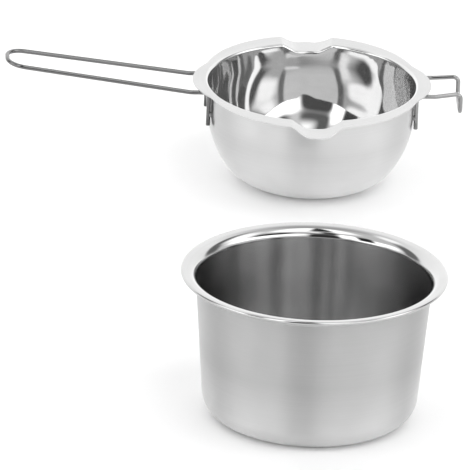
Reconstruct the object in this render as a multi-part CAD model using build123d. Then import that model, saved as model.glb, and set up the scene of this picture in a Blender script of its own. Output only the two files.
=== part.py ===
from build123d import *
import os
from math import atan2, cos, radians, sin, sqrt, tan

# Double boiler for melting: a deep steel pot that holds the water, and a small bowl with two
# pour spouts, a long wire handle on its left and a short wire hook on its right. Millimetres,
# +Z up. The origin is the middle of the pot's base. The bowl stands on its own base behind the
# pot, with its spouts to the front and the back, and drops into the pot for use.

# Bowl: pressed from one steel sheet, with a flat flange around its opening
bowl_sheet = 0.6
bowl_height = 59.5
bowl_wall_radius = 60.5
bowl_base_inset = 32.5
bowl_knuckle_radius = 26.2
bowl_knuckle_turn = 56.0
bowl_shoulder_height = 46.8
bowl_bend_radius = 1.0

# Flange outline: two discs shifted towards the spouts, and two rounded lugs over the wires
flange_width = 12.5
flange_disc_margin = 0.9
lug_width = 8.6
lug_disc_radius = 43.5
lug_blend_radius = 14.0

# Pour spouts: a dished trough across the flange, ending in a rounded lip
lip_step = 3.2
lip_disc_radius = 16.4
lip_blend_radius = 6.0
spout_width = 28.0
spout_foot = 12.0
spout_depth = 4.8
spout_shoulder_radius = 3.4
spout_dish_radius = 10.0
spout_margin = 1.5
lip_width = 32.0
lip_foot = 12.0
lip_depth = 5.2

# Wires: round steel wire, its four ends turned down against the bowl's wall and welded there
wire_diameter = 2.5
wire_seat_gap = 0.1
weld_gap = 0.15
weld_diameter = 3.0
weld_drop = 15.5
leg_drop = 22.0
leg_half_spacing = 15.0
leg_bend_radius = 3.0
lug_overhang = 1.5
rise_bend_radius = 12.0

# Handle: one long loop, drawn in a little towards its rounded end
handle_length = 108.8
handle_end_width = 27.3
handle_end_radius = 10.5
handle_rise_angle = 7.5

# Hook: a short loop whose end turns down, to hang over the edge of another pan
hook_length = 17.7
hook_end_width = 29.3
hook_rise_angle = 6.0
hook_drop = 12.2
hook_bend_radius = 3.0
hook_corner_radius = 4.5

# Pot: drawn from one steel sheet, with a flared mouth and a rolled edge
pot_sheet = 0.7
pot_height = 85.5
pot_taper = 6.45
pot_corner_radius = 12.8
pot_neck_height = 77.5
pot_flare_radius = 6.5
pot_ledge_slope = 4.0
pot_curl_radius = 1.2
pot_curl_turn = 205.0
leg_clearance = 2.3
rim_overlap = 1.2

# Where the bowl stands: clear space behind the pot's rim, and its shift to the right
stand_gap = 204.0
stand_shift = 16.0

overrun = 5.0

bowl_base_radius = bowl_wall_radius - bowl_base_inset
flange_reach = bowl_wall_radius + flange_width
flange_disc_radius = bowl_wall_radius + flange_disc_margin
lug_reach = bowl_wall_radius + lug_width
lip_reach = flange_reach + lip_step
handle_reach = lug_reach + handle_length
hook_reach = lug_reach + hook_length
wire_radius = wire_diameter / 2
leg_radius = bowl_wall_radius + weld_gap + wire_radius
pot_neck_radius = leg_radius + wire_radius + leg_clearance
pot_floor_radius = pot_neck_radius - pot_taper
pot_rim_radius = lip_reach - rim_overlap
wire_level = bowl_height - bowl_sheet - wire_seat_gap - wire_radius
leg_place = sqrt(leg_radius**2 - leg_half_spacing**2)
bowl_place = Location((stand_shift, pot_rim_radius + stand_gap + lip_reach, 0))


def sheet_ring(path, thickness):
    """Revolves a strip of sheet metal: its outline runs along the path and back, one thickness away."""
    strip = Wire(path).offset_2d(thickness, side=Side.LEFT, closed=True)
    return revolve(Plane.XZ * make_face(strip.edges()), Axis.Z)


def pot_shell():
    """Flat floor, rounded corner, slightly tapered wall, flared mouth, narrow ledge, rolled edge."""
    lean = (pot_neck_radius - pot_floor_radius) / (pot_neck_height - pot_sheet)
    slope = radians(pot_ledge_slope)
    ledge_x = pot_rim_radius - pot_curl_radius - pot_curl_radius * sin(slope)
    ledge_z = pot_height - pot_curl_radius + pot_curl_radius * cos(slope)
    wall_rise = ledge_z - pot_sheet - ledge_x * tan(slope)
    mouth_x = (pot_floor_radius + lean * wall_rise) / (1 - lean * tan(slope))
    mouth_z = ledge_z - (ledge_x - mouth_x) * tan(slope)
    inside = FilletPolyline(
        (0, pot_sheet),
        (pot_floor_radius, pot_sheet),
        (mouth_x, mouth_z),
        (ledge_x, ledge_z),
        radius=[pot_corner_radius, pot_flare_radius],
    )
    curl = JernArc(inside @ 1, inside % 1, pot_curl_radius, -pot_curl_turn)
    strip = Wire(inside.edges() + curl.edges()).offset_2d(pot_sheet, side=Side.RIGHT, closed=True)
    return revolve(Plane.XZ * make_face(strip.edges()), Axis.Z)


def bowl_blank():
    """The bowl before its flange is trimmed: base, knuckle, shoulder, short upright wall, wide flange."""
    base = Line((0, 0), (bowl_base_radius, 0))
    knuckle = JernArc(base @ 1, base % 1, bowl_knuckle_radius, bowl_knuckle_turn)
    shoulder = TangentArc(knuckle @ 1, (bowl_wall_radius, bowl_shoulder_height), tangent=knuckle % 1)
    upright = Line(shoulder @ 1, (bowl_wall_radius, bowl_height - bowl_sheet - bowl_bend_radius))
    bend = JernArc(upright @ 1, (0, 1), bowl_bend_radius, -90)
    flange = Line(bend @ 1, (lip_reach + overrun, bowl_height - bowl_sheet))
    path = base.edges() + knuckle.edges() + shoulder.edges() + upright.edges() + bend.edges() + flange.edges()
    return sheet_ring(path, bowl_sheet)


def half_outline():
    """The flange's outline on the hook's side and at the front spout, as joined discs."""
    body = Pos(0, flange_disc_radius - flange_reach) * Circle(flange_disc_radius)
    lug = Pos(lug_reach - lug_disc_radius, 0) * Rot(0, 0, 180) * Circle(lug_disc_radius)
    lip = Pos(0, lip_disc_radius - lip_reach) * Circle(lip_disc_radius)
    return body, lug, lip


def flange_outline():
    """The whole outline, with its inward corners rounded."""
    half = half_outline()
    discs = list(half) + [Rot(0, 0, 180) * disc for disc in half]
    outline = discs[0]
    for disc in discs[1:]:
        outline += disc
    corners = outline.vertices()
    at_lips = [v for v in corners if abs(v.Y) > flange_disc_radius]
    outline = fillet(at_lips, lip_blend_radius)
    at_lugs = [v for v in outline.vertices() if abs(v.Y) < flange_disc_radius / 2 + lug_disc_radius / 2]
    return fillet(at_lugs, lug_blend_radius)


def press_curve(width, foot, depth, drop):
    """One surface of the pressed trough across its run: shoulders, sloping sides and a nearly flat bottom."""
    side = atan2(2 * depth, width - foot)
    spread = drop * tan(side / 2)
    half = width / 2 + spread
    flat = foot / 2 + spread
    reach = half + spout_margin
    shoulder = spout_shoulder_radius - drop
    dish = spout_dish_radius + drop
    curve = FilletPolyline(
        (-reach, -drop),
        (-half, -drop),
        (-flat, -depth - drop),
        (flat, -depth - drop),
        (half, -drop),
        (reach, -drop),
        radius=[shoulder, dish, dish, shoulder],
    )
    lid = Polyline(curve @ 1, (reach, overrun), (-reach, overrun), curve @ 0)
    return make_face(curve.edges() + lid.edges())


def trough(drop):
    """What lies above one surface of the trough, from inside the wall to past the lip."""
    near = Plane(origin=(0, overrun - bowl_wall_radius, bowl_height), x_dir=(1, 0, 0), z_dir=(0, -1, 0))
    far = Plane(origin=(0, -lip_reach - overrun, bowl_height), x_dir=(1, 0, 0), z_dir=(0, -1, 0))
    inner = near * press_curve(spout_width, spout_foot, spout_depth, drop)
    outer = far * press_curve(lip_width, lip_foot, lip_depth, drop)
    return loft([inner, outer], ruled=True)


def bowl_shell():
    """The trimmed blank, with a trough pressed into the flange at the front and at the back."""
    trim = extrude(flange_outline(), bowl_height + overrun)
    blank = bowl_blank() & trim
    hollow = Cylinder(
        bowl_wall_radius - bowl_sheet,
        bowl_height + overrun,
        align=(Align.CENTER, Align.CENTER, Align.MIN),
    )
    pressed = (trough(bowl_sheet) - trough(0)) & (trim - hollow)
    above = Pos(0, 0, bowl_height) * Box(
        2 * pot_rim_radius,
        2 * (lip_reach + overrun),
        2 * overrun,
        align=(Align.CENTER, Align.CENTER, Align.MIN),
    )
    pressed -= above
    opened = trough(0)
    for turn in (0, 180):
        blank -= Rot(0, 0, turn) * opened
        blank += Rot(0, 0, turn) * pressed
    return blank


def wire_along(points, radii):
    """A wire bent along the points and on to their mirror image on the other side."""
    back = [(x, -y, z) for x, y, z in reversed(points)]
    path = FilletPolyline(*points, *back, radius=radii + radii[::-1])
    return sweep(Plane(origin=path @ 0, z_dir=path % 0) * Circle(wire_radius), path=path)


def leg_points(side):
    """A leg's foot, its bend under the flange, and the place past the lug where the wire starts to rise."""
    return [
        (side * leg_place, leg_half_spacing, bowl_height - leg_drop),
        (side * leg_place, leg_half_spacing, wire_level),
        (side * (lug_reach + lug_overhang), leg_half_spacing, wire_level),
    ]


def handle_wire():
    end_x = handle_reach - wire_radius
    end_y = handle_end_width / 2 - wire_radius
    rise = (end_x - lug_reach - lug_overhang) * tan(radians(handle_rise_angle))
    points = leg_points(-1) + [(-end_x, end_y, wire_level + rise)]
    return wire_along(points, [leg_bend_radius, rise_bend_radius, handle_end_radius])


def hook_wire():
    end_x = hook_reach - wire_radius
    end_y = hook_end_width / 2 - wire_radius
    top = wire_level + (end_x - lug_reach - lug_overhang) * tan(radians(hook_rise_angle))
    points = leg_points(1) + [(end_x, end_y, top), (end_x, end_y, top - hook_drop)]
    return wire_along(points, [leg_bend_radius, rise_bend_radius, hook_bend_radius, hook_corner_radius])


def leg_welds(side, wire):
    """The two weld nuggets that fill the gap between the wall and the legs on one side."""
    wall = Cylinder(bowl_wall_radius, bowl_height, align=(Align.CENTER, Align.CENTER, Align.MIN))
    nuggets = []
    for across in (-leg_half_spacing, leg_half_spacing):
        inwards = Vector(-side * leg_place, -across, 0)
        seat = Plane(
            origin=(side * leg_place, across, bowl_height - weld_drop),
            z_dir=inwards,
        )
        nugget = extrude(seat * Circle(weld_diameter / 2), leg_radius - bowl_wall_radius + bowl_sheet)
        nuggets.append((nugget - wall - wire).solids().sort_by(SortBy.VOLUME)[-1])
    return Compound(nuggets)


os.makedirs("parts", exist_ok=True)
handle = handle_wire()
hook = hook_wire()
bowl_pieces = {
    "bowl_shell": bowl_shell(),
    "handle_wire": handle,
    "hook_wire": hook,
    "handle_welds": leg_welds(-1, handle),
    "hook_welds": leg_welds(1, hook),
}
export_step(pot_shell(), "parts/pot_shell.step")
for name, piece in bowl_pieces.items():
    export_step(bowl_place * piece, f"parts/{name}.step")
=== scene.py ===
from math import atan2, cos, hypot, pi, radians, sin, sqrt, tan

import bmesh
import bpy
from mathutils import Matrix, Vector


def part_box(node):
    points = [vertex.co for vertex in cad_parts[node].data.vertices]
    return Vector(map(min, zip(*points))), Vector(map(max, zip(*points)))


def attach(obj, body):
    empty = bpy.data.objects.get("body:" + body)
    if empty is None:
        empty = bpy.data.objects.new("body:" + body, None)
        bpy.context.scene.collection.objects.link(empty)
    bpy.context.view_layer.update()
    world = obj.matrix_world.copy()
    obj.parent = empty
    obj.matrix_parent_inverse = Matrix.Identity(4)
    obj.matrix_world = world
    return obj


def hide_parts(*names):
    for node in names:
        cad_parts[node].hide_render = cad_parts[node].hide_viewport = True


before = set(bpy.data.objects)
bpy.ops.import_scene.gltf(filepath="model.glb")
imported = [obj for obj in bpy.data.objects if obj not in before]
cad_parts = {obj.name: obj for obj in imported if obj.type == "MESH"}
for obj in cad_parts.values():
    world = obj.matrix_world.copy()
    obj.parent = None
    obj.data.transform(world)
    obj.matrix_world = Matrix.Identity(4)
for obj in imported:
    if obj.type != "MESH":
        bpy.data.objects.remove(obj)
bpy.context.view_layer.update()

# Pot shell. One disc of stainless steel sheet, deep drawn into a flat floor and a slightly
# tapered wall. Its mouth is flared to a narrow ledge, and the edge is rolled under. The outside
# is satin, the inside is brushed round on the spinning chuck, and the flare is buffed bright.
_, pot_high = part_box("pot_shell")
pot_height = pot_high.z
pot_rim_radius = pot_high.x
pot_axis = (0, 0)
pot_sheet = 0.0007
pot_floor_radius = 0.059
pot_floor_rings = (0.3, 0.6)
pot_neck_radius = 0.06545
pot_neck_height = 0.0775
pot_corner_radius = 0.0128
pot_flare_radius = 0.0065
pot_ledge_slope = radians(4)
pot_curl_radius = 0.0012
pot_curl_turn = radians(205)
pot_curl_steps = 20
pot_round_steps = 16
pot_steps = 240
merge_distance = 0.000001
cut_edge_angle = radians(50)


def draw_to(profile, tip, x, z):
    """Carries the profile's line on to a point in the upright plane through the axis."""
    new = bmesh.ops.extrude_vert_indiv(profile, verts=[tip])["verts"][0]
    new.co = (x, 0, z)
    return new


def round_corner(profile, corner, radius, segments):
    """Rounds a corner of the profile with an arc that touches both of its lines."""
    before, after = [edge.other_vert(corner).co - corner.co for edge in corner.link_edges]
    turn = pi - before.angle(after)
    bmesh.ops.bevel(
        profile,
        geom=[corner],
        offset=radius * tan(turn / 2),
        offset_type="OFFSET",
        segments=segments,
        profile=0.5,
        material=-1,
        affect="VERTICES",
    )


def spin_round(profile, steps):
    """Spins the profile once round the upright axis, and points its faces into the hollow."""
    bmesh.ops.spin(
        profile,
        geom=profile.verts[:] + profile.edges[:],
        cent=(0, 0, 0),
        axis=(0, 0, 1),
        angle=2 * pi,
        steps=steps,
        use_merge=True,
    )
    bmesh.ops.remove_doubles(profile, verts=profile.verts, dist=merge_distance)
    bmesh.ops.recalc_face_normals(profile, faces=profile.faces)
    profile.normal_update()
    lowest = min(profile.faces, key=lambda face: face.calc_center_median().z)
    if lowest.normal.z < 0:
        bmesh.ops.reverse_faces(profile, faces=profile.faces)


def shell_piece(name, surface, materials, thickness):
    """Makes a piece of the surface, gives it the sheet's thickness and breaks its cut edges."""
    mesh = bpy.data.meshes.new(name)
    surface.to_mesh(mesh)
    surface.free()
    for face in mesh.polygons:
        face.use_smooth = True
    for material in materials:
        mesh.materials.append(material)
    piece = bpy.data.objects.new(name, mesh)
    bpy.context.scene.collection.objects.link(piece)
    wall = piece.modifiers.new("sheet", "SOLIDIFY")
    wall.thickness = thickness
    wall.offset = -1
    wall.use_even_offset = True
    wall.material_offset = 1
    edge = piece.modifiers.new("broken_edge", "BEVEL")
    edge.width = thickness / 5
    edge.segments = 2
    edge.limit_method = "ANGLE"
    edge.angle_limit = cut_edge_angle
    return piece


# The steel's patterns. Scales are per metre, and a span is the part of the noise that is used.
# The noise starts off the axis, because its grid lines would show where they meet there.
noise_start = (7.37, 3.71, 5.13)
line_scale = (12, 12, 1600)
line_detail = 5
line_span = (0.25, 0.75)
line_tones = (0.97, 1.02)
patch_scale = (28, 28, 28)
patch_detail = 2
patch_span = (0.3, 0.7)
patch_tones = (0.96, 1.05)
swell_scale = (42, 42, 14)
swell_detail = 0
quarter_turn = 0.25


def steel_look(
    name,
    centre,
    grey,
    roughness,
    stretch,
    line_depth,
    patch,
    wave=0,
    metal=1,
    painted_foot_light=0,
    foot_height=0.02,
):
    """Bare steel with fine lines round an upright axis, and soft uneven patches in its polish.

    The stretch draws highlights out across the lines, and the patch is how far the roughness
    strays. A wave is the depth of the shallow swells that a mirror polish shows. The painted
    foot light is painted light: it makes the lowest part paler, standing in for the bright floor
    that the foot reflects, and it fades out at the foot's height.
    """
    material = bpy.data.materials.new(name)
    material.use_nodes = True
    nodes, links = material.node_tree.nodes, material.node_tree.links
    shader = nodes["Principled BSDF"]
    shader.inputs["Metallic"].default_value = metal
    shader.inputs["Anisotropic"].default_value = stretch
    shader.inputs["Anisotropic Rotation"].default_value = quarter_turn
    place = nodes.new("ShaderNodeTexCoord")
    shift = nodes.new("ShaderNodeMapping")
    shift.inputs["Location"].default_value = (-centre[0], -centre[1], 0)
    links.new(place.outputs["Object"], shift.inputs["Vector"])
    round_axis = nodes.new("ShaderNodeVectorMath")
    round_axis.operation = "CROSS_PRODUCT"
    round_axis.inputs[0].default_value = (0, 0, 1)
    links.new(shift.outputs["Vector"], round_axis.inputs[1])
    links.new(round_axis.outputs["Vector"], shader.inputs["Tangent"])
    flat = nodes.new("ShaderNodeVectorMath")
    flat.operation = "MULTIPLY"
    flat.inputs[1].default_value = (1, 1, 0)
    links.new(shift.outputs["Vector"], flat.inputs[0])
    reach = nodes.new("ShaderNodeVectorMath")
    reach.operation = "LENGTH"
    links.new(flat.outputs["Vector"], reach.inputs[0])
    split = nodes.new("ShaderNodeSeparateXYZ")
    links.new(shift.outputs["Vector"], split.inputs["Vector"])
    along = nodes.new("ShaderNodeMath")
    along.operation = "ADD"
    links.new(split.outputs["Z"], along.inputs[0])
    links.new(reach.outputs["Value"], along.inputs[1])
    strokes = nodes.new("ShaderNodeCombineXYZ")
    links.new(split.outputs["X"], strokes.inputs["X"])
    links.new(split.outputs["Y"], strokes.inputs["Y"])
    links.new(along.outputs["Value"], strokes.inputs["Z"])

    def noise(vector, scale, detail):
        scaled = nodes.new("ShaderNodeVectorMath")
        scaled.operation = "MULTIPLY_ADD"
        scaled.inputs[1].default_value = scale
        scaled.inputs[2].default_value = noise_start
        links.new(vector, scaled.inputs[0])
        grain = nodes.new("ShaderNodeTexNoise")
        grain.inputs["Scale"].default_value = 1
        grain.inputs["Detail"].default_value = detail
        links.new(scaled.outputs["Vector"], grain.inputs["Vector"])
        return grain.outputs["Fac"]

    def spread(value, span, low, high):
        step = nodes.new("ShaderNodeMapRange")
        step.inputs["From Min"].default_value = span[0]
        step.inputs["From Max"].default_value = span[1]
        step.inputs["To Min"].default_value = low
        step.inputs["To Max"].default_value = high
        links.new(value, step.inputs["Value"])
        return step.outputs["Result"]

    lines = noise(strokes.outputs["Vector"], line_scale, line_detail)
    patches = noise(shift.outputs["Vector"], patch_scale, patch_detail)
    polish = spread(patches, patch_span, roughness - patch, roughness + patch)
    links.new(polish, shader.inputs["Roughness"])
    tone = spread(lines, line_span, grey * line_tones[0], grey * line_tones[1])
    haze = spread(patches, patch_span, *patch_tones)
    # Painted light: the lowest part is made paler up to the foot's height, for the floor it
    # reflects.
    foot = spread(split.outputs["Z"], (0, foot_height), 1 + painted_foot_light, 1)
    for part in (haze, foot):
        product = nodes.new("ShaderNodeMath")
        product.operation = "MULTIPLY"
        links.new(tone, product.inputs[0])
        links.new(part, product.inputs[1])
        tone = product.outputs["Value"]
    colour = nodes.new("ShaderNodeCombineColor")
    for channel in ("Red", "Green", "Blue"):
        links.new(tone, colour.inputs[channel])
    links.new(colour.outputs["Color"], shader.inputs["Base Color"])
    relief = nodes.new("ShaderNodeBump")
    relief.inputs["Distance"].default_value = line_depth
    links.new(lines, relief.inputs["Height"])
    if wave:
        swell = nodes.new("ShaderNodeBump")
        swell.inputs["Distance"].default_value = wave
        links.new(noise(shift.outputs["Vector"], swell_scale, swell_detail), swell.inputs["Height"])
        links.new(swell.outputs["Normal"], relief.inputs["Normal"])
    links.new(relief.outputs["Normal"], shader.inputs["Normal"])
    return material


pot_lean = (pot_neck_radius - pot_floor_radius) / (pot_neck_height - pot_sheet)
ledge_x = pot_rim_radius - pot_curl_radius * (1 + sin(pot_ledge_slope))
ledge_z = pot_height - pot_curl_radius * (1 - cos(pot_ledge_slope))
wall_rise = ledge_z - pot_sheet - ledge_x * tan(pot_ledge_slope)
mouth_x = (pot_floor_radius + pot_lean * wall_rise) / (1 - pot_lean * tan(pot_ledge_slope))
mouth_z = ledge_z - (ledge_x - mouth_x) * tan(pot_ledge_slope)
pot_line = bmesh.new()
tip = pot_line.verts.new((0, 0, pot_sheet))
for share in pot_floor_rings:
    tip = draw_to(pot_line, tip, pot_floor_radius * share, pot_sheet)
corner = draw_to(pot_line, tip, pot_floor_radius, pot_sheet)
mouth = draw_to(pot_line, corner, mouth_x, mouth_z)
ledge_end = draw_to(pot_line, mouth, ledge_x, ledge_z)
bmesh.ops.spin(
    pot_line,
    geom=[ledge_end],
    cent=(
        ledge_x + pot_curl_radius * sin(pot_ledge_slope),
        0,
        ledge_z - pot_curl_radius * cos(pot_ledge_slope),
    ),
    axis=(0, 1, 0),
    angle=pot_curl_turn,
    steps=pot_curl_steps,
)
round_corner(pot_line, corner, pot_corner_radius, pot_round_steps)
round_corner(pot_line, mouth, pot_flare_radius, pot_round_steps)
spin_round(pot_line, pot_steps)
pot_inside_steel = steel_look(
    "pot_inside_steel",
    pot_axis,
    grey=0.47,
    roughness=0.19,
    stretch=0.92,
    line_depth=0.000001,
    patch=0.02,
)
pot_outside_steel = steel_look(
    "pot_outside_steel",
    pot_axis,
    grey=0.47,
    roughness=0.47,
    stretch=0.85,
    line_depth=0.000002,
    patch=0.03,
    # The paler foot is painted light, for the bright floor the pot's lower wall reflects.
    painted_foot_light=0.45,
    foot_height=0.04,
)
pot_flare_steel = steel_look(
    "pot_flare_steel",
    pot_axis,
    grey=0.48,
    roughness=0.08,
    stretch=0,
    line_depth=0.000001,
    patch=0.03,
)
pot_roll_steel = steel_look(
    "pot_roll_steel",
    pot_axis,
    grey=0.44,
    roughness=0.14,
    stretch=0,
    line_depth=0.000001,
    patch=0.03,
)
flare_finish = 2
for face in pot_line.faces:
    if face.calc_center_median().z > pot_neck_height:
        face.material_index = flare_finish
pot_finishes = [pot_inside_steel, pot_outside_steel, pot_flare_steel, pot_roll_steel]
pot = shell_piece("pot", pot_line, pot_finishes, pot_sheet)
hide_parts("pot_shell")
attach(pot, "pot")

# Bowl shell. One disc of thinner sheet, pressed into a flat base, a round knuckle and a short
# upright wall, then folded out to a flat flange. The flange is cut to an outline with a lug over
# each wire and a lip at each pour spout, and the spouts are pressed through it.
bowl_low, bowl_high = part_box("bowl_shell")
bowl_centre = (bowl_low + bowl_high) / 2
bowl_height = bowl_high.z
lug_reach = (bowl_high.x - bowl_low.x) / 2
lip_reach = (bowl_high.y - bowl_low.y) / 2
bowl_sheet = 0.0006
bowl_wall_radius = 0.0605
bowl_wall_rings = (0.25, 0.5, 0.75, 1)
bowl_base_radius = 0.028
bowl_base_rings = (0.5, 1)
bowl_knuckle_radius = 0.0262
bowl_knuckle_turn = radians(56)
bowl_shoulder_height = 0.0468
bowl_bend_radius = 0.001
bowl_curve_steps = 16
bowl_bend_steps = 6
bowl_side_steps = 130
bowl_spout_steps = 120
flange_steps = 12
flange_reach = 0.073
flange_disc_radius = 0.0614
lug_disc_radius = 0.0435
lug_blend = 0.0015
lip_disc_radius = 0.0164
lip_blend = 0.0010
spout_width = 0.028
spout_foot = 0.012
spout_depth = 0.0048
lip_width = 0.032
lip_foot = 0.012
lip_depth = 0.0052
spout_overrun = 0.005
spout_shoulder_radius = 0.0034
spout_dish_radius = 0.010
spout_sector = radians(17)


def disc_reach(angle, toward, offset, radius):
    """How far from the bowl's axis the edge of a disc lies, whose middle is off the axis."""
    off = angle - toward
    across = radius**2 - (offset * sin(off)) ** 2
    return offset * cos(off) + sqrt(across) if across > 0 else 0


def soft_most(a, b, blend):
    """The larger of two sizes, with the change from one to the other rounded."""
    gap = max(blend - abs(a - b), 0) / blend
    return max(a, b) + gap * gap * blend / 4


def outline_reach(angle):
    """Where the flange's cut edge lies in that direction from the bowl's axis."""
    front, back = -pi / 2, pi / 2
    reach = 0
    for toward in (front, back):
        disc = disc_reach(angle, toward, flange_reach - flange_disc_radius, flange_disc_radius)
        reach = max(reach, disc)
    for toward in (0, pi):
        lug = disc_reach(angle, toward, lug_reach - lug_disc_radius, lug_disc_radius)
        reach = soft_most(reach, lug, lug_blend)
    for toward in (front, back):
        lip = disc_reach(angle, toward, lip_reach - lip_disc_radius, lip_disc_radius)
        reach = soft_most(reach, lip, lip_blend)
    return min(reach, lip_reach)


def soft_ramp(x, foot, top, rise, foot_blend, top_blend):
    """A slope from nothing at foot to rise at top, with both of its corners rounded."""
    slope = rise / (top - foot)
    if x <= foot - foot_blend:
        return 0
    if x < foot + foot_blend:
        return slope * (x - foot + foot_blend) ** 2 / (4 * foot_blend)
    if x < top - top_blend:
        return slope * (x - foot)
    if x < top + top_blend:
        return rise - slope * (top + top_blend - x) ** 2 / (4 * top_blend)
    return rise


def spout_drop(x, y):
    """How deep the pour spout's trough is pressed at that place in the flange."""
    start = bowl_wall_radius - spout_overrun
    run = (abs(y) - start) / (lip_reach + 2 * spout_overrun - bowl_wall_radius)
    run = min(max(run, 0), 1)
    half = (spout_width + (lip_width - spout_width) * run) / 2
    foot = (spout_foot + (lip_foot - spout_foot) * run) / 2
    depth = spout_depth + (lip_depth - spout_depth) * run
    half_turn = tan(atan2(depth, half - foot) / 2)
    spread = bowl_sheet * half_turn
    dish = (spout_dish_radius + bowl_sheet) * half_turn
    shoulder = (spout_shoulder_radius - bowl_sheet) * half_turn
    return depth - soft_ramp(abs(x), foot + spread, half + spread, depth, dish, shoulder)


def bend_tip(profile, tip, x, z, turn_axis, angle, steps):
    """Carries the profile's line round an arc about x and z, and gives the vertex at its end."""
    arc = bmesh.ops.spin(
        profile,
        geom=[tip],
        cent=(x, 0, z),
        axis=turn_axis,
        angle=angle,
        steps=steps,
    )
    return next(part for part in arc["geom_last"] if isinstance(part, bmesh.types.BMVert))


turn_up = (0, -1, 0)
turn_down = (0, 1, 0)
bowl_line = bmesh.new()
tip = bowl_line.verts.new((0, 0, 0))
for share in bowl_base_rings:
    tip = draw_to(bowl_line, tip, bowl_base_radius * share, 0)
tip = bend_tip(
    bowl_line,
    tip,
    bowl_base_radius,
    bowl_knuckle_radius,
    turn_up,
    bowl_knuckle_turn,
    bowl_curve_steps,
)
chord = Vector((bowl_wall_radius, 0, bowl_shoulder_height)) - tip.co
lean = 2 * (atan2(chord.z, chord.x) - bowl_knuckle_turn)
shoulder_radius = chord.length / (2 * sin(lean / 2))
tip = bend_tip(
    bowl_line,
    tip,
    tip.co.x - shoulder_radius * sin(bowl_knuckle_turn),
    tip.co.z + shoulder_radius * cos(bowl_knuckle_turn),
    turn_up,
    lean,
    bowl_curve_steps,
)
flange_level = bowl_height - bowl_sheet
wall_top = flange_level - bowl_bend_radius
for share in bowl_wall_rings:
    rise = (wall_top - bowl_shoulder_height) * share
    tip = draw_to(bowl_line, tip, bowl_wall_radius, bowl_shoulder_height + rise)
bend_end_x = bowl_wall_radius + bowl_bend_radius
tip = bend_tip(bowl_line, tip, bend_end_x, wall_top, turn_down, pi / 2, bowl_bend_steps)
# The flange is drawn a metre wide at first, so that a point's way along it is its share of the
# way from the bend to the cut edge. The loop over the vertices then brings it in to the outline.
for step in range(flange_steps):
    tip = draw_to(bowl_line, tip, bend_end_x + (step + 1) / flange_steps, flange_level)
turned = bowl_line.verts[:] + bowl_line.edges[:]
bmesh.ops.rotate(
    bowl_line,
    verts=bowl_line.verts,
    cent=(0, 0, 0),
    matrix=Matrix.Rotation(spout_sector - pi / 2, 3, "Z"),
)
side_sweep = (pi - 2 * spout_sector, bowl_side_steps)
spout_sweep = (2 * spout_sector, bowl_spout_steps)
for sweep, steps in (side_sweep, spout_sweep, side_sweep, spout_sweep):
    turned = bmesh.ops.spin(
        bowl_line,
        geom=turned,
        cent=(0, 0, 0),
        axis=(0, 0, 1),
        angle=sweep,
        steps=steps,
    )["geom_last"]
bmesh.ops.remove_doubles(bowl_line, verts=bowl_line.verts, dist=merge_distance)
for vert in bowl_line.verts:
    x, y, z = vert.co
    reach = hypot(x, y)
    if reach > bend_end_x:
        angle = atan2(y, x)
        share = reach - bend_end_x
        edge = outline_reach(angle)
        reach = bend_end_x + (edge - bend_end_x) * share
        x, y = reach * cos(angle), reach * sin(angle)
    lift = min(max((z - bowl_shoulder_height) / (wall_top - bowl_shoulder_height), 0), 1)
    vert.co = (x, y, z - spout_drop(x, y) * lift)
bmesh.ops.recalc_face_normals(bowl_line, faces=bowl_line.faces)
bowl_line.normal_update()
underside = min(bowl_line.faces, key=lambda face: face.calc_center_median().z)
if underside.normal.z > 0:
    bmesh.ops.reverse_faces(bowl_line, faces=bowl_line.faces)
bowl_outside_steel = steel_look(
    "bowl_outside_steel",
    bowl_centre,
    grey=0.6,
    roughness=0.36,
    stretch=0.9,
    line_depth=0.000001,
    patch=0.05,
    # The paler foot is painted light, for the bright floor the bowl's underside reflects.
    painted_foot_light=0.45,
    foot_height=0.035,
)
bowl_inside_steel = steel_look(
    "bowl_inside_steel",
    bowl_centre,
    grey=0.58,
    roughness=0.045,
    stretch=0,
    line_depth=0.00000003,
    patch=0.01,
    wave=0.0015,
    metal=0.9,
)
flange_underside_steel = steel_look(
    "flange_underside_steel",
    bowl_centre,
    grey=0.6,
    roughness=0.3,
    stretch=0.3,
    line_depth=0.000003,
    patch=0.05,
)
flange_steel = steel_look(
    "flange_steel",
    bowl_centre,
    grey=0.47,
    roughness=0.2,
    stretch=0.3,
    line_depth=0.000002,
    patch=0.04,
)
flange_finish = 2
for face in bowl_line.faces:
    middle = face.calc_center_median()
    if hypot(middle.x, middle.y) > bend_end_x:
        face.material_index = flange_finish
bmesh.ops.translate(bowl_line, verts=bowl_line.verts, vec=(bowl_centre.x, bowl_centre.y, 0))
bowl_finishes = [bowl_outside_steel, bowl_inside_steel, flange_underside_steel, flange_steel]
bowl = shell_piece("bowl", bowl_line, bowl_finishes, bowl_sheet)
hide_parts("bowl_shell")
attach(bowl, "bowl")

# Handle. A single length of round drawn steel wire, bent to a long narrow loop. Both ends turn
# down under the left lug and lie against the bowl's wall, where they are welded. Its grey is set
# far darker than the sheet's, a painted shade for the dark surroundings that the wire reflects.
handle_low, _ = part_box("handle_wire")
wire_radius = 0.00125
wire_sides = 20
wire_bend_step = radians(9)
wire_bend_least = 4
mirror_merge = 0.00001
leg_half_spacing = 0.015
leg_place = 0.06005
leg_bend_radius = 0.003
rise_bend_radius = 0.012
lug_overhang = 0.0015
seat_gap = 0.0001
handle_half_width = 0.01365
handle_end_radius = 0.0105
handle_rise_angle = radians(7.5)
wire_level = flange_level - seat_gap - wire_radius
leg_foot = handle_low.z
handle_end_half = handle_half_width - wire_radius
handle_end_x = bowl_centre.x - handle_low.x - wire_radius


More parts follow.
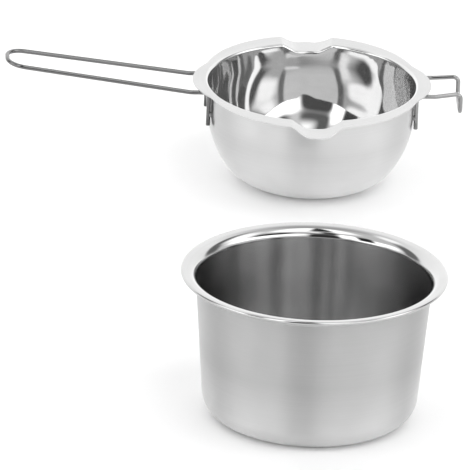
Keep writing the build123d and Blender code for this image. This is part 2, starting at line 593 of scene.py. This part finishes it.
def bend_wire(name, points, radii, material):
    """Bends a round wire along the points, and back along their mirror image across the bowl."""
    wire = bmesh.new()
    bmesh.ops.create_circle(
        wire,
        segments=wire_sides,
        radius=wire_radius,
        matrix=Matrix.Translation(points[0]),
    )
    ring = wire.edges[:]
    bmesh.ops.edgeloop_fill(wire, edges=ring)
    bmesh.ops.bevel(
        wire,
        geom=ring,
        offset=wire_radius / 6,
        segments=2,
        profile=0.5,
        material=-1,
        affect="EDGES",
    )
    ring = [edge for edge in wire.edges if edge.is_boundary]
    here = Vector(points[0])
    corners = [Vector(point) for point in points]
    for at, radius in zip(range(1, len(corners)), radii + [0]):
        corner = corners[at]
        ahead = (corner - corners[at - 1]).normalized()
        if radius:
            onward = (corners[at + 1] - corner).normalized()
            turn = ahead.angle(onward)
            setback = radius * tan(turn / 2)
        else:
            setback = 0
        run = corner - ahead * setback - here
        new = bmesh.ops.extrude_edge_only(wire, edges=ring)["geom"]
        moved = [part for part in new if isinstance(part, bmesh.types.BMVert)]
        bmesh.ops.translate(wire, verts=moved, vec=run)
        ring = [edge for edge in new if isinstance(edge, bmesh.types.BMEdge)]
        ring = [edge for edge in ring if len(edge.link_faces) == 1]
        here = here + run
        if radius:
            axis = ahead.cross(onward).normalized()
            centre = here + axis.cross(ahead) * radius
            around = list({vert for edge in ring for vert in edge.verts}) + ring
            new = bmesh.ops.spin(
                wire,
                geom=around,
                cent=centre,
                axis=axis,
                angle=turn,
                steps=max(wire_bend_least, round(turn / wire_bend_step)),
            )["geom_last"]
            ring = [edge for edge in new if isinstance(edge, bmesh.types.BMEdge)]
            here = centre - axis.cross(onward) * radius
    half = wire.verts[:] + wire.edges[:] + wire.faces[:]
    bmesh.ops.mirror(wire, geom=half, axis="Y", merge_dist=mirror_merge)
    bmesh.ops.remove_doubles(wire, verts=wire.verts, dist=merge_distance)
    bmesh.ops.recalc_face_normals(wire, faces=wire.faces)
    bmesh.ops.translate(wire, verts=wire.verts, vec=(bowl_centre.x, bowl_centre.y, 0))
    mesh = bpy.data.meshes.new(name)
    wire.to_mesh(mesh)
    wire.free()
    for face in mesh.polygons:
        face.use_smooth = True
    mesh.materials.append(material)
    piece = bpy.data.objects.new(name, mesh)
    bpy.context.scene.collection.objects.link(piece)
    return piece


def leg_points(side):
    """A leg's foot, its bend under the flange, and the place where the wire starts to rise."""
    return [
        (side * leg_place, -leg_half_spacing, leg_foot),
        (side * leg_place, -leg_half_spacing, wire_level),
        (side * (lug_reach + lug_overhang), -leg_half_spacing, wire_level),
    ]


# The wire's dark grey is painted shade, for the dark surroundings it reflects.
handle_painted_shade_steel = steel_look(
    "handle_painted_shade_steel",
    bowl_centre,
    grey=0.17,
    roughness=0.14,
    stretch=0,
    line_depth=0.000001,
    patch=0.03,
)
handle_rise = (handle_end_x - lug_reach - lug_overhang) * tan(handle_rise_angle)
handle_level = wire_level + handle_rise
handle_loop = [
    (-handle_end_x, -handle_end_half, handle_level),
    (-handle_end_x, 0, handle_level),
]
handle_bends = [leg_bend_radius, rise_bend_radius, handle_end_radius]
handle = bend_wire("handle", leg_points(-1) + handle_loop, handle_bends, handle_painted_shade_steel)
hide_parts("handle_wire")
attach(handle, "bowl")

# Hook. The same wire, its grey set a little lighter than the handle's but still darker than the
# sheet's as painted shade, bent to a short loop that turns down at its outer end, so that the bowl
# can hang on the edge of another pan. Its two ends are welded under the right lug.
_, hook_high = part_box("hook_wire")
hook_half_width = 0.01465
hook_rise_angle = radians(6)
hook_drop = 0.0122
hook_bend_radius = 0.003
hook_corner_radius = 0.0045
hook_end_x = hook_high.x - bowl_centre.x - wire_radius
hook_end_half = hook_half_width - wire_radius
# The hook's darker grey is painted shade, for the dark surroundings the wire reflects.
hook_painted_shade_steel = steel_look(
    "hook_painted_shade_steel",
    bowl_centre,
    grey=0.3,
    roughness=0.12,
    stretch=0,
    line_depth=0.000001,
    patch=0.03,
)
hook_rise = (hook_end_x - lug_reach - lug_overhang) * tan(hook_rise_angle)
hook_level = wire_level + hook_rise
hook_loop = [
    (hook_end_x, -hook_end_half, hook_level),
    (hook_end_x, -hook_end_half, hook_level - hook_drop),
    (hook_end_x, 0, hook_level - hook_drop),
]
hook_bends = [leg_bend_radius, rise_bend_radius, hook_bend_radius, hook_corner_radius]
hook = bend_wire("hook", leg_points(1) + hook_loop, hook_bends, hook_painted_shade_steel)
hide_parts("hook_wire")
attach(hook, "bowl")

# Welds. Resistance welds between the bowl's wall and the four legs of the wires, wiped clean and
# left duller than the steel around them. They keep the meshes of their two nodes.
weld_steel = steel_look(
    "weld_steel",
    bowl_centre,
    grey=0.35,
    roughness=0.4,
    stretch=0,
    line_depth=0.00001,
    patch=0.1,
)
for node in ("handle_welds", "hook_welds"):
    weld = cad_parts[node]
    weld.data.materials.clear()
    weld.data.materials.append(weld_steel)

# Floor. A wide plain sweep of near white paper that the set stands on. It is there for the
# picture only, and reaches far enough to fill the frame behind the set.
floor_half = 10
paper_grey = 0.93
paper_roughness = 0.8
paper = bmesh.new()
bmesh.ops.create_grid(paper, x_segments=1, y_segments=1, size=floor_half)
floor_mesh = bpy.data.meshes.new("floor")
paper.to_mesh(floor_mesh)
paper.free()
floor = bpy.data.objects.new("floor", floor_mesh)
bpy.context.scene.collection.objects.link(floor)
paper_white = bpy.data.materials.new("paper_white")
paper_white.use_nodes = True
paper_shader = paper_white.node_tree.nodes["Principled BSDF"]
paper_shader.inputs["Base Color"].default_value = (paper_grey, paper_grey, paper_grey, 1)
paper_shader.inputs["Roughness"].default_value = paper_roughness
floor_mesh.materials.append(paper_white)

# Studio light. A pale room that darkens toward its ceiling, with a grey screen, soft boxes and
# dark gaps round the set. Each of these is an oblong with rounded corners on the surroundings,
# and a later one covers an earlier one. Azimuth 0 is the camera's side, and 90 the right side.
wall_glow = 1.45
ceiling_glow = 0.6
ceiling_start = 35
ceiling_end = 80
squareness = 4
studio_strength = 1.08
# Azimuth, elevation, half width and half height in degrees, soft edge as a share, and brightness.
studio_patches = (
    (0, 32, 118, 60, 0.15, 0.95),  # grey screen, from far left to far right
    (-111, 25, 11, 22, 0.4, 0.25),  # dark gap, behind on the left
    (114, 30, 11, 28, 0.4, 0.2),  # dark gap, behind on the right
    (-75, 21, 18, 10, 0.5, 2.7),  # soft box, left
    (-56, 8, 13, 4, 0.5, 3),  # low strip, left
    (88, 44, 17, 13, 0.6, 2.2),  # high soft box, right
    (-125, 56, 18, 6, 0.6, 1.9),  # high strip, behind on the left
    (48, 22, 42, 9, 0.25, 2.8),  # long soft box, right of the camera
    (-36, 26, 12, 13, 0.35, 2.8),  # soft box, left of the camera
    (0, 69, 62, 17, 0.25, 2.4),  # wide soft box overhead
    (-55, 27, 9, 13, 0.35, 0.03),  # dark gap between the two boxes on the left
    (44, 37, 21, 7.5, 0.4, 0.03),  # dark gap over the long box
    (-12, 12, 15.5, 17, 0.2, 0.05),  # dark gap at the camera
    (-11, 41, 16, 13, 0.3, 0.12),  # dark gap over the camera
    (-11, 74, 17, 19, 0.35, 0.05),  # dark gap overhead
    (-2, 45, 7, 6, 0.8, 1.7),  # small lamp over the camera
)
world = bpy.data.worlds.new("studio")
bpy.context.scene.world = world
world.use_nodes = True
studio, studio_links = world.node_tree.nodes, world.node_tree.links


def studio_math(operation, first, second=None):
    """One sum in the studio's shading, on outputs or on plain numbers."""
    node = studio.new("ShaderNodeMath")
    node.operation = operation
    for socket, value in zip(node.inputs, (first, second)):
        if isinstance(value, bpy.types.NodeSocket):
            studio_links.new(value, socket)
        elif value is not None:
            socket.default_value = value
    return node.outputs["Value"]


def studio_fade(value, start, end, low, high):
    """A soft step from low to high as the value goes from start to end."""
    node = studio.new("ShaderNodeMapRange")
    node.interpolation_type = "SMOOTHSTEP"
    node.inputs["From Min"].default_value = start
    node.inputs["From Max"].default_value = end
    node.inputs["To Min"].default_value = low
    node.inputs["To Max"].default_value = high
    studio_links.new(value, node.inputs["Value"])
    return node.outputs["Result"]


heading = studio.new("ShaderNodeTexCoord").outputs["Generated"]
parts = studio.new("ShaderNodeSeparateXYZ")
studio_links.new(heading, parts.inputs["Vector"])
nearer = studio_math("MULTIPLY", parts.outputs["Y"], -1)
azimuth = studio_math("ARCTAN2", parts.outputs["X"], nearer)
azimuth = studio_math("MULTIPLY", azimuth, 180 / pi)
elevation = studio_math("MULTIPLY", studio_math("ARCSINE", parts.outputs["Z"]), 180 / pi)
shade = studio_fade(elevation, ceiling_start, ceiling_end, wall_glow, ceiling_glow)
for middle, height, half_width, half_height, edge, glow in studio_patches:
    off = studio_math("DIVIDE", studio_math("SUBTRACT", azimuth, middle), half_width)
    rise = studio_math("DIVIDE", studio_math("SUBTRACT", elevation, height), half_height)
    off = studio_math("POWER", off, squareness)
    rise = studio_math("POWER", rise, squareness)
    away = studio_math("POWER", studio_math("ADD", off, rise), 1 / squareness)
    patch = studio_fade(away, 1 - edge, 1 + edge, 1, 0)
    step = studio_math("SUBTRACT", glow, shade)
    shade = studio_math("ADD", shade, studio_math("MULTIPLY", step, patch))
shade = studio_math("MULTIPLY", shade, studio_strength)
studio_links.new(shade, studio["Background"].inputs["Strength"])
studio["Background"].inputs["Color"].default_value = (1, 1, 1, 1)

# Camera. A long lens from far away, a little left of the middle and looking down on the set. It
# is rolled a little, so that the set leans as in the photograph.
view_azimuth = radians(-3.3)
view_elevation = radians(22)
view_roll = radians(2.3)
view_distance = 11
view_aim = Vector((-0.0449, 0.0097, 0.1030))
view_lens = 1503
view_limit = 60
camera = bpy.data.objects.new("camera", bpy.data.cameras.new("camera"))
camera.data.lens = view_lens
camera.data.clip_end = view_limit
back = Vector(
    (
        sin(view_azimuth) * cos(view_elevation),
        -cos(view_azimuth) * cos(view_elevation),
        sin(view_elevation),
    )
)
camera.location = view_aim + back * view_distance
camera.rotation_mode = "QUATERNION"
level = (-back).to_track_quat("-Z", "Y")
camera.rotation_quaternion = level @ Matrix.Rotation(view_roll, 3, "Z").to_quaternion()
bpy.context.scene.collection.objects.link(camera)
bpy.context.scene.camera = camera
bpy.context.scene.view_settings.view_transform = "Standard"
